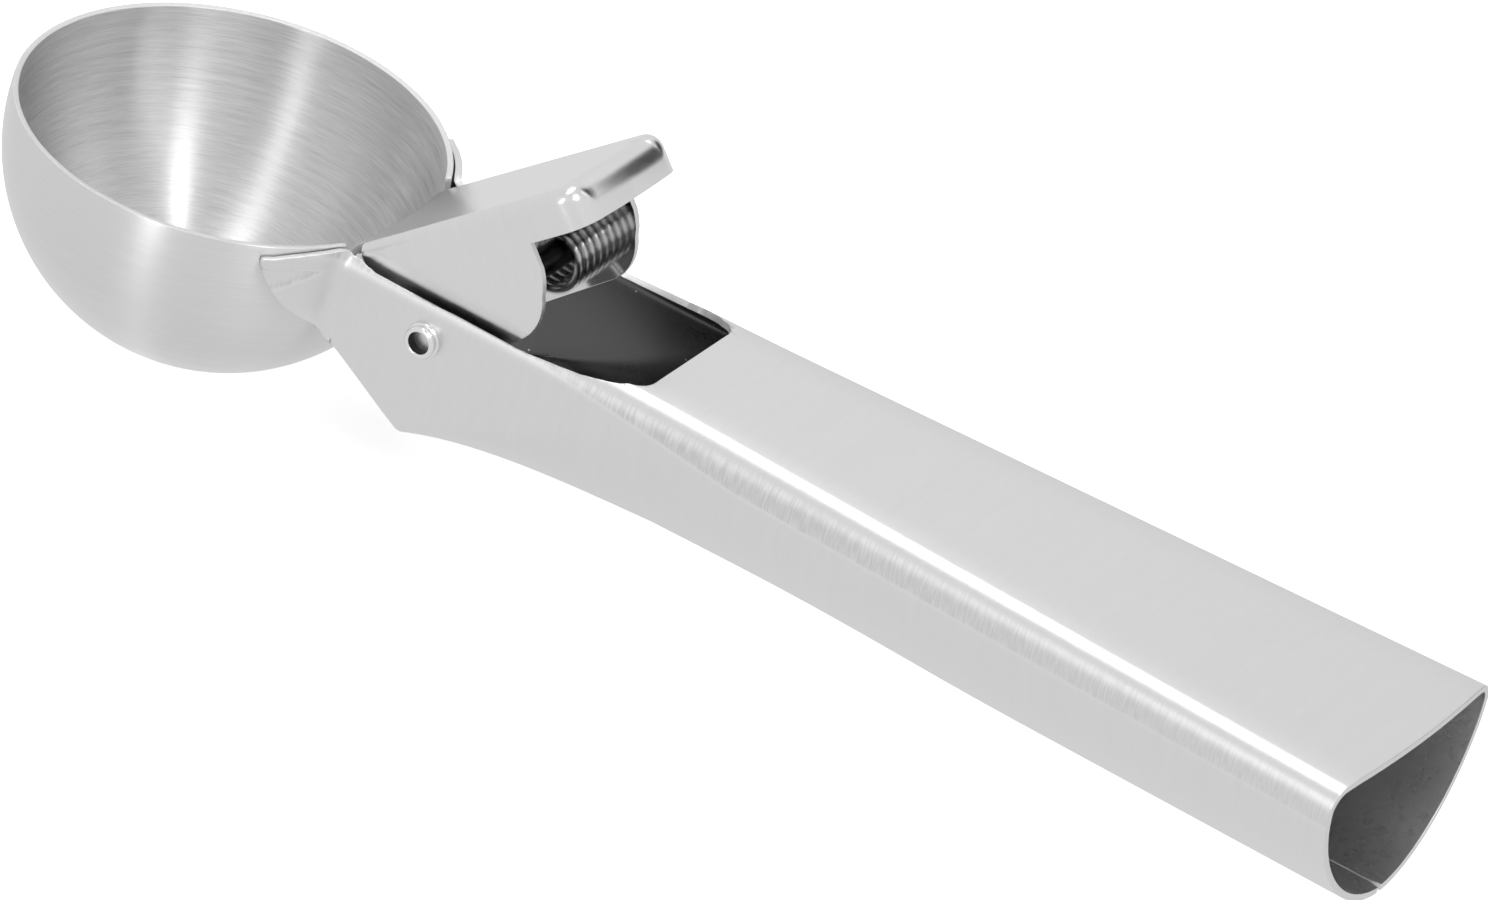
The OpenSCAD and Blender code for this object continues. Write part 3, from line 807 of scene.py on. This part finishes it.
    def _side_outline(self) -> list[Pair]:
        """Return the outline of the sheet that is kept, seen from the side."""
        (tip_x, tip_z), (throat_x, throat_z), (toe_x, toe_z) = self.tab_tip, self.throat, self.toe
        end, drop, lift = self.opening_reach, self.cheek_drop, self.lift
        shoulder, beyond, above, below = (throat_x, 0.05), 200.0, 10.0, -40.0
        shares = ((0.02, 0.08), (0.08, 0.13), (0.19, 0.16), (0.39, 0.44), (0.66, 0.72))
        line = [(mix(tip_x, shoulder[0], a), mix(tip_z, shoulder[1], b)) for a, b in shares]
        line += [shoulder, (29.5, -drop + 0.1), (end - 17.0, -drop), (end - 8.0, -drop / 5.0)]
        line += [(end - 5.2, 0.28), (end - 3.0, lift - 0.36), (end - 2.2, lift - 0.17)]
        line += [(end - 1.5, lift - 0.06), (end - 1.1, lift + 0.05)]
        line += [(end, above), (beyond, above), (beyond, below), (toe_x + 8.0, below)]
        line += [(toe_x + 6.0, lift - self.depth + 0.1), (toe_x + 0.8, toe_z - 0.15)]
        line += [(toe_x - 0.5, toe_z + 0.25), (toe_x - 2.2, toe_z + 1.2)]
        line += [(throat_x + 2.6, throat_z - 1.1), (throat_x + 1.3, throat_z - 0.45)]
        line += [self.throat, (throat_x - 1.0, throat_z + 0.9)]
        for share in (0.75, 0.6, 0.5, 0.4, 0.3, 0.2, 0.12, 0.05):
            line.append((mix(tip_x, throat_x - 2.0, share ** 1.35), mix(tip_z, throat_z + 1.9, share)))
        return line

    def _opening(self) -> list[Pair]:
        """Return the top opening's outline, seen from above."""
        end, side, r = self.opening_reach, self.opening_half, self.opening_r
        front, inner = 10.0, self.neck_half - self.sheet
        right = arc((end - r, side - r), r, 0.0, 90.0, 8)
        right += [(end - 9.0, side + 0.6), (end - 17.0, inner), (front, inner)]
        return mirrored(right) + right

    def _seam(self) -> list[Pair]:
        """Return the outline between the two folded edges below: a mouth that closes to a seam."""
        gap, inner, nick = self.seam_gap / 2.0, self.neck_half - self.sheet, 0.9
        front, mouth = 10.0, self.opening_reach - 7.0
        right = [(front, inner), (self.toe[0], inner), (mix(self.toe[0], mouth, 0.5), inner * 0.42)]
        right += [(mouth, gap), (self.reach - 1.4, gap), (self.reach + 3.0, nick + gap)]
        return right + mirrored(right)


# Lever


@dataclass
class Lever:
    """One pressing: thumb plate with folded lip, two flanges and the tongue in the bowl.

    It is drawn in the plate's own frame: u runs up the plate from where its face cuts the rim's
    level, y runs across and v stands square on the face.
    """

    half: float = 11.0
    sheet: float = 0.9
    slope_deg: float = 40.4
    foot: float = 25.7
    length: float = 34.16
    lip: float = 5.3
    side_fold: float = 1.6
    rear_fold: float = 3.4
    corner_r: float = 4.0
    crown_deg: float = 6.0
    bend_r: float = 3.0
    tongue_half: float = 9.1
    tongue_depth: float = 25.5
    tongue_r: float = 25.5
    flange_depth: float = 34.0
    flange_from: float = 2.47
    flange_to: float = 9.4
    boss_r: float = 4.2
    lobe_r: float = 6.6
    lobe_off: Pair = (6.6, 9.4)
    heel: tuple[Pair, ...] = ((6.05, 3.5), (5.65, 4.75), (5.15, 5.75), (4.6, 6.4))

    def frame(self) -> Matrix:
        """Return the matrix from the plate's frame to the bowl's."""
        slope = Matrix.Rotation(-math.radians(self.slope_deg), 4, "Y")
        return Matrix.Translation((self.foot, 0.0, 0.0)) @ slope

    def uv(self, point: Pair) -> Pair:
        """Return a point of the side view in the plate's frame."""
        at = self.frame().inverted() @ Vector((point[0], 0.0, point[1]))
        return at.x, at.z

    def build(self, skin: Skin) -> Piece:
        """Press the sheet: plate, folds, flanges and tongue in one face, cut out and thickened.

        Args:
            skin: finishes of the upper face, the lower face and the cut edges.

        Returns:
            The piece.
        """
        sheet = SheetBuilder()
        rings = [self._fold_ring(angle) for angle in range(90, -1, -9)]
        rings.append([Vector((p.x, p.y, -self.flange_depth)) for p in rings[-1]])
        tongue = self._tongue_rows()
        lead = [Vector((0.0, side * self.tongue_half, 0.0)) for side in (1.0, -1.0)]
        plate = sheet.lay_ring([*rings[0], lead[0], *reversed(tongue[0]), lead[1]], capped=True)
        sheet.loft(sheet.along(plate, rings[0]), rings)
        sheet.loft(sheet.along(plate, tongue[0]), tongue)
        sheet.cut(self._flange_outline(), Look.SIDE, self._is_wall, keep_inside=True)
        square = 0.9999
        sheet.merge_flats(lambda face: abs(face.normal.y) > square)
        sheet.turn_out(Vector((0.5 * self.length, 0.0, 0.0)), UP)
        sheet.lay_map(lambda at, centre: (at.x, at.y - math.copysign(min(at.z, 0.0), centre.y)))
        return thicken(sheet.finish("lever_pressing", skin, self.frame()), self.sheet)

    def _fold_ring(self, angle_deg: float) -> list[Vector]:
        """Lay one ring of the fold round the plate's sides and rear.

        Args:
            angle_deg: 90 on the plate's face and 0 where the lip starts.

        Returns:
            The ring's points, from front to front.
        """
        r, crown = self.corner_r, math.radians(self.crown_deg)
        far = self.half - r * (1.0 - math.sin(crown))
        rise = 0.5 * far * math.tan(crown)
        places = [(u, -self.half, -90.0, 0.0) for u in spread(0.0, self.length - r, 8)[:-1]]
        for share in spread(0.0, 1.0, 12):
            turn = math.radians(mix(-90.0, -self.crown_deg, share))
            u = self.length - r * (1.0 - math.cos(turn)) - rise * share
            y = -self.half + r * (1.0 + math.sin(turn))
            places.append((u, y, math.degrees(turn), share ** 2))
        for share in (0.12, 0.24, 0.36, 0.48, 0.6, 0.72, 0.84, 0.95):
            rest = 1.0 - share
            places.append((u + rise * (1.0 - rest ** 2), y * rest, -self.crown_deg * rest, 1.0))
        left = [self._folded(place, angle_deg) for place in places]
        return left + [Vector((p.x, -p.y, p.z)) for p in reversed(left)]

    def _folded(self, place: tuple[float, float, float, float], angle_deg: float) -> Vector:
        """Return a fold's point, from the lip's point, outward angle and share of the way back."""
        u, y, out_deg, share = place
        radius = mix(self.side_fold, self.rear_fold, share)
        angle, out = math.radians(angle_deg), math.radians(out_deg)
        drawn = radius * (1.0 - math.cos(angle))
        v = -radius * (1.0 - math.sin(angle))
        return Vector((u - drawn * math.cos(out), y - drawn * math.sin(out), v))

    def _tongue_rows(self) -> Rows:
        """Return the tongue's rows: round the bend, then down the inside of the ball to the tip."""
        ball_u, ball_v = self.uv((0.0, BALL_Z))
        rise = ball_v + self.bend_r
        rho = math.sqrt((self.tongue_r + self.bend_r) ** 2 - rise ** 2)
        last = math.degrees(math.atan2(-rise, rho))
        columns = spread(-self.tongue_half, self.tongue_half, 26)
        rows: Rows = []
        for turn in map(math.radians, spread(90.0, 180.0 + last, 8)):
            reach = rho + self.bend_r * math.cos(turn)
            level = self.bend_r * (math.sin(turn) - 1.0)
            rows.append([Vector((ball_u + math.sqrt(reach ** 2 - y * y), y, level)) for y in columns])
        start, into = rows[-1], self.frame()
        back = into.inverted()
        for share in spread(0.0, 1.0, 26)[1:]:
            rows.append([back @ self._on_ball(into @ first, share) for first in start])
        return rows

    def _on_ball(self, first: Vector, share: float) -> Vector:
        """Return a column's point on the ball, a share of the way from the bend to the round tip."""
        y = first.y
        circle = math.sqrt(self.tongue_r ** 2 - y * y)
        top = math.atan2(first.z - BALL_Z, first.x)
        rounding = math.sqrt(max(self.tongue_half ** 2 - y * y, 0.0))
        tip_z = self.tongue_half - self.tongue_depth - rounding
        angle = mix(top, math.asin((tip_z - BALL_Z) / circle), share)
        return Vector((circle * math.cos(angle), y, BALL_Z + circle * math.sin(angle)))

    def _is_wall(self, centre: Vector) -> bool:
        """Tell whether a face with a given centre belongs to the lip or the flanges."""
        front, flush, below = -0.5, 0.05, 0.1 - self.rear_fold
        side = abs(centre.y) > self.half - flush and centre.z < -self.side_fold
        return centre.x > front and (side or centre.z < below)

    def _flange_outline(self) -> list[Pair]:
        """Return the outline of lip and flange in the plate's side view."""
        front, above, beyond, lip = -1.0, 2.0, 40.0, -self.lip
        lobe = (PIVOT[0] + self.lobe_off[0], PIVOT[1] + self.lobe_off[1])
        step = Vector(self.lobe_off)
        lean = math.atan2(step.y, step.x) - math.acos((self.boss_r - self.lobe_r) / step.length)
        lean = math.degrees(lean)
        curve = arc(PIVOT, self.boss_r, 190.0, 360.0 + lean, 20)
        curve += arc(lobe, self.lobe_r, lean, 20.0, 12)
        curve += [(lobe[0] + x, lobe[1] + z) for x, z in self.heel]
        line = [(front, above), (front, lip), (self.flange_from, lip), *map(self.uv, curve)]
        return line + [(self.length - self.flange_to, lip), (beyond, lip), (beyond, above)]


# Rivet and spring


@dataclass
class Rivet:
    """The hollow rivet, rolled over outside both cheeks."""

    shank_r: float = 1.8
    hole_r: float = 1.4
    seat: float = 13.3
    head_h: float = 1.4
    collar: float = 0.5
    collar_edge: float = 0.08
    roll_r: float = 0.4
    edge_r: float = 0.05
    bore_edge: Pair = (0.12, 0.14)

    def build(self, skin: Skin) -> Piece:
        """Spin the rivet's section round its axis.

        Args:
            skin: finish of the rolled ends, and a near-black painted shade for the hole and the hidden
                shank.

        Returns:
            The piece.
        """
        builder = SheetBuilder()
        axis = Vector((PIVOT[0], 0.0, PIVOT[1]))
        ring = [axis + Vector((r, y, 0.0)) for r, y in self._section()]
        edges = builder.lay_ring(ring, capped=False)
        verts = unique(vert for edge in edges for vert in edge.verts)
        bmesh.ops.spin(
            builder.mesh, geom=verts + edges, cent=axis, axis=(0, 1, 0), dvec=(0, 0, 0),
            angle=math.tau, steps=64, use_merge=True, use_duplicate=False)
        bmesh.ops.remove_doubles(builder.mesh, verts=builder.mesh.verts, dist=1e-4)
        bmesh.ops.recalc_face_normals(builder.mesh, faces=builder.mesh.faces)
        for face in builder.mesh.faces:
            off = face.calc_center_median() - axis
            # Painted shade: the hole and the shank between the cheeks take the near-black finish.
            hidden = abs(off.y) < self.seat - 0.1
            face.material_index = int(hidden or math.hypot(off.x, off.z) < self.hole_r + 0.02)
        return round_edges(builder.finish("hollow_rivet", skin), self.edge_r)

    def _section(self) -> list[Pair]:
        """Return the closed section of shank, collars and rolled ends: radius and way along."""
        shank, seat, tip = self.shank_r, self.seat, self.seat + self.head_h
        collar, edge, roll = self.collar, self.collar_edge, self.roll_r
        half = [(shank, seat), (shank + collar, seat), (shank + collar, seat + collar - edge)]
        half += [(shank + collar - edge, seat + collar), (shank + 0.05, seat + collar)]
        half += [(shank + 0.05, tip - 0.7), *arc((shank - 0.1, tip - roll), roll, -60.0, 90.0, 8)]
        half += [(self.hole_r + self.bore_edge[0], tip), (self.hole_r, tip - self.bore_edge[1])]
        return half + mirrored(half)


@dataclass
class Spring:
    """The torsion spring that hangs on the rivet."""

    wire_r: float = 0.55
    coil_r: float = 3.55
    centre: Pair = (38.4, -6.98)
    near: float = -9.4
    length: float = 13.95
    first_deg: float = 165.0
    sweep_deg: float = 3318.0
    step_deg: float = 10.0
    plate_leg: float = 16.1
    floor_leg: float = 14.2

    def build(self, skin: Skin) -> Piece:
        """Wind the coil by a spin with a step along its axis, then draw out both legs.

        Args:
            skin: the wire's finish.

        Returns:
            The piece.
        """
        builder = SheetBuilder()
        across = Vector((0.0, 1.0, 0.0))
        first = math.radians(self.first_deg)
        final = math.radians(self.first_deg + self.sweep_deg)
        radial = Vector((math.cos(first), 0.0, math.sin(first)))
        start = Vector((self.centre[0], self.near + self.length, self.centre[1])) + self.coil_r * radial
        turn = Matrix((radial, across, radial.cross(across))).transposed().to_4x4()
        wire = bmesh.ops.create_circle(
            builder.mesh, cap_ends=False, segments=14, radius=self.wire_r,
            matrix=Matrix.Translation(start) @ turn)["verts"]
        ring = unique(edge for vert in wire for edge in vert.link_edges)
        steps = int(self.sweep_deg / self.step_deg)
        last = bmesh.ops.spin(
            builder.mesh, geom=[*wire, *ring], cent=(self.centre[0], 0, self.centre[1]),
            axis=(0, -1, 0), dvec=(0, -self.length / steps, 0), angle=math.radians(self.sweep_deg),
            steps=steps, use_merge=False, use_duplicate=False)["geom_last"]
        self._leg(builder, ring, Vector((math.sin(first), 0.0, -math.cos(first))) * self.plate_leg)
        self._leg(builder, last, Vector((-math.sin(final), 0.0, math.cos(final))) * self.floor_leg)
        bmesh.ops.recalc_face_normals(builder.mesh, faces=builder.mesh.faces)
        return builder.finish("torsion_spring", skin)

    @staticmethod
    def _leg(builder: SheetBuilder, coil_end: Iterable[BMVert | BMEdge], reach: Vector) -> None:
        """Draw one leg out from an end of the coil, by the way to the leg's end, and close it."""
        ring = [item for item in coil_end if isinstance(item, BMEdge)]
        made = bmesh.ops.extrude_edge_only(builder.mesh, edges=ring)["geom"]
        verts = [item for item in made if isinstance(item, BMVert)]
        bmesh.ops.translate(builder.mesh, vec=reach, verts=verts)
        end = [item for item in made if isinstance(item, BMEdge) and len(item.link_faces) == 1]
        bmesh.ops.contextual_create(builder.mesh, geom=end)


# Studio


@dataclass(frozen=True)
class Softbox:
    """One soft lamp that looks at the table's middle: name, place, size, strength and long side."""

    name: str
    place: Triple
    size: Pair
    watts: float
    along: Triple


@dataclass(frozen=True)
class Patch:
    """A soft patch of the room: its direction, its inner and outer angle and its gain."""

    aim: Triple
    inner_deg: float
    outer_deg: float
    gain: float


@dataclass
class Studio:
    """Camera, floor, lamps and world."""

    lens: float = 439.02
    sensor: float = 36.0
    clip: Pair = (0.1, 50.0)
    floor_size: float = 6.0
    floor_tone: float = 0.9
    floor_rough: float = 0.9
    floor_glow: float = 0.6
    floor_mirrored: float = 0.8
    room_levels: tuple[Pair, ...] = (
        (-1.0, 0.82), (0.0, 0.8), (0.3, 0.81), (0.6, 0.84), (0.85, 0.76), (1.0, 0.7))
    room_patches: tuple[Patch, ...] = (
        Patch((0.2, 0.86, 0.47), 14.0, 23.0, 0.04),
        Patch((0.3, 0.62, 0.72), 7.0, 15.0, 1.8),
    )
    camera_axes: tuple[Triple, Triple, Triple] = (
        (0.82498, 0.52395, 0.21185),
        (0.43675, -0.35315, -0.82737),
        (-0.35868, 0.77509, -0.52017),
    )
    camera_offset: Triple = (-61.905, -39.526, 2200.0)
    softboxes: tuple[Softbox, ...] = (
        Softbox("overhead_strip", (-0.25, 0.16, 0.95), (0.14, 0.8), 1.7, (-0.155, 1.0, -0.2)),
        Softbox("near_strip", (-0.06, -0.95, 0.3), (0.15, 0.6), 1.05, (-0.1, 0.3, 0.95)),
        Softbox("right_strip", (0.48, -0.26, 0.84), (0.15, 0.5), 1.5, (-0.55, 0.66, 0.52)),
    )

    def build(self) -> None:
        """Make the whole studio."""
        self._camera()
        self._floor()
        self._lamps()
        self._world()

    def _camera(self) -> None:
        """Place the camera: its axes and its offset are given in the bowl's frame."""
        right, down, ahead = (Vector(axis) for axis in self.camera_axes)
        offset = Vector(self.camera_offset)
        eye = -(right * offset.x + down * offset.y + ahead * offset.z)
        turn = Matrix((right, -down, -ahead)).transposed().to_4x4()
        place = REST.matrix() @ Matrix.Translation(eye) @ turn
        data = bpy.data.cameras.new("camera")
        data.sensor_width = self.sensor
        data.lens = self.lens
        data.clip_start, data.clip_end = self.clip
        camera = stand("camera", data)
        camera.matrix_world = Matrix.LocRotScale(place.to_translation(), place.to_quaternion(), None)
        bpy.context.scene.camera = camera

    def _floor(self) -> None:
        """Lay the plain white floor, which keeps the object's shadow."""
        mesh = bpy.data.meshes.new("floor")
        sheet = bmesh.new()
        bmesh.ops.create_grid(sheet, x_segments=1, y_segments=1, size=self.floor_size / 2.0)
        sheet.to_mesh(mesh)
        sheet.free()
        floor = stand("floor", mesh)
        material = bpy.data.materials.new("white_floor")
        material.use_nodes = True
        net = Wiring(material.node_tree)
        surface = net.tree.nodes["Principled BSDF"]
        surface.inputs["Base Color"].default_value = (*[self.floor_tone] * 3, 1.0)
        surface.inputs["Roughness"].default_value = self.floor_rough
        plain = surface.outputs[0]
        rays = net.add("LightPath").outputs
        glow = net.add("Emission", {"Strength": self.floor_glow}).outputs[0]
        lit = net.add("AddShader", {0: plain, 1: glow}).outputs[0]
        seen = net.choose(rays["Is Camera Ray"], plain, lit)
        flat = net.add("Emission", {"Strength": self.floor_mirrored}).outputs[0]
        shown = net.choose(rays["Is Glossy Ray"], seen, flat)
        net.feed(net.tree.nodes["Material Output"].inputs[0], shown)
        mesh.materials.append(material)

    def _lamps(self) -> None:
        """Hang the softboxes."""
        for box in self.softboxes:
            data = bpy.data.lights.new(box.name, "AREA")
            data.shape = "RECTANGLE"
            data.size, data.size_y = box.size
            data.energy = box.watts
            back = Vector(box.place).normalized()
            side = Vector(box.along).cross(back).normalized()
            turn = Matrix((side, back.cross(side), back)).transposed().to_4x4()
            stand(box.name, data).matrix_world = Matrix.Translation(box.place) @ turn

    def _patches(self, net: Wiring, direction: Socket) -> Socket:
        """Return the room's strength by direction, with soft darker and brighter patches."""
        level: object = 1.0
        for patch in self.room_patches:
            inputs = {0: direction, 1: Vector(patch.aim).normalized()}
            close = net.add("VectorMath", inputs, operation="DOT_PRODUCT").outputs["Value"]
            near, far = (math.cos(math.radians(angle)) for angle in (patch.inner_deg, patch.outer_deg))
            level = net.math("MULTIPLY", level, net.span(close, far, near, 1.0, patch.gain))
        return level

    def _world(self) -> None:
        """Fill the room with a pale light that darkens overhead, white where the camera sees it."""
        world = bpy.data.worlds.new("room")
        bpy.context.scene.world = world
        world.use_nodes = True
        net = Wiring(world.node_tree)
        net.tree.nodes.clear()
        direction = net.add("TexCoord").outputs["Generated"]
        height = net.span(net.part(direction, "Z"), -1.0, 1.0, 0.0, 1.0)
        ramp = net.add("ValToRGB", {0: height})
        stops = ramp.color_ramp.elements
        while len(stops) < len(self.room_levels):
            stops.new(0.5)
        for stop, (level, grey) in zip(stops, self.room_levels):
            stop.position = (level + 1.0) / 2.0
            stop.color = (grey, grey, grey, 1.0)
        inputs = {"Color": ramp.outputs[0], "Strength": self._patches(net, direction)}
        room = net.add("Background", inputs).outputs[0]
        white = net.add("Background", {"Color": (1.0, 1.0, 1.0, 1.0)}).outputs[0]
        rays = net.add("LightPath").outputs
        shown = net.choose(rays["Is Camera Ray"], room, white)
        net.add("OutputWorld", {0: shown})


def main() -> None:
    """Build the scoop and its studio."""
    logging.basicConfig(level=logging.INFO, format="%(name)s: %(message)s")
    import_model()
    bpy.context.scene.view_settings.view_transform = "Standard"
    groups = EffectGroups()
    Studio().build()
    steel = {finish: finish.value.material(groups) for finish in Finish}
    plan = (
        ("bowl", Body.FIXED, Bowl(), (Finish.BOWL_OUTSIDE, Finish.BOWL_INSIDE, Finish.EDGE)),
        ("handle", Body.FIXED, Handle(), (Finish.HANDLE_OUTSIDE, Finish.HANDLE_INNER_PAINTED_SHADE, Finish.EDGE)),
        ("lever", Body.LEVER, Lever(), (Finish.LEVER_TOP, Finish.LEVER_UNDER, Finish.EDGE)),
        ("rivet", Body.FIXED, Rivet(), (Finish.RIVET, Finish.RIVET_HOLE_PAINTED_SHADE)),
        ("spring", Body.FIXED, Spring(), (Finish.SPRING,)),
    )
    for node, body, builder, skin in plan:
        piece = builder.build([steel[finish] for finish in skin])
        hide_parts(node)
        if node == "spring":
            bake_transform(piece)
        else:
            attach(piece, body.value)
        LOG.info("%s: %d faces", piece.name, len(piece.data.polygons))


if __name__ == "__main__":
    main()
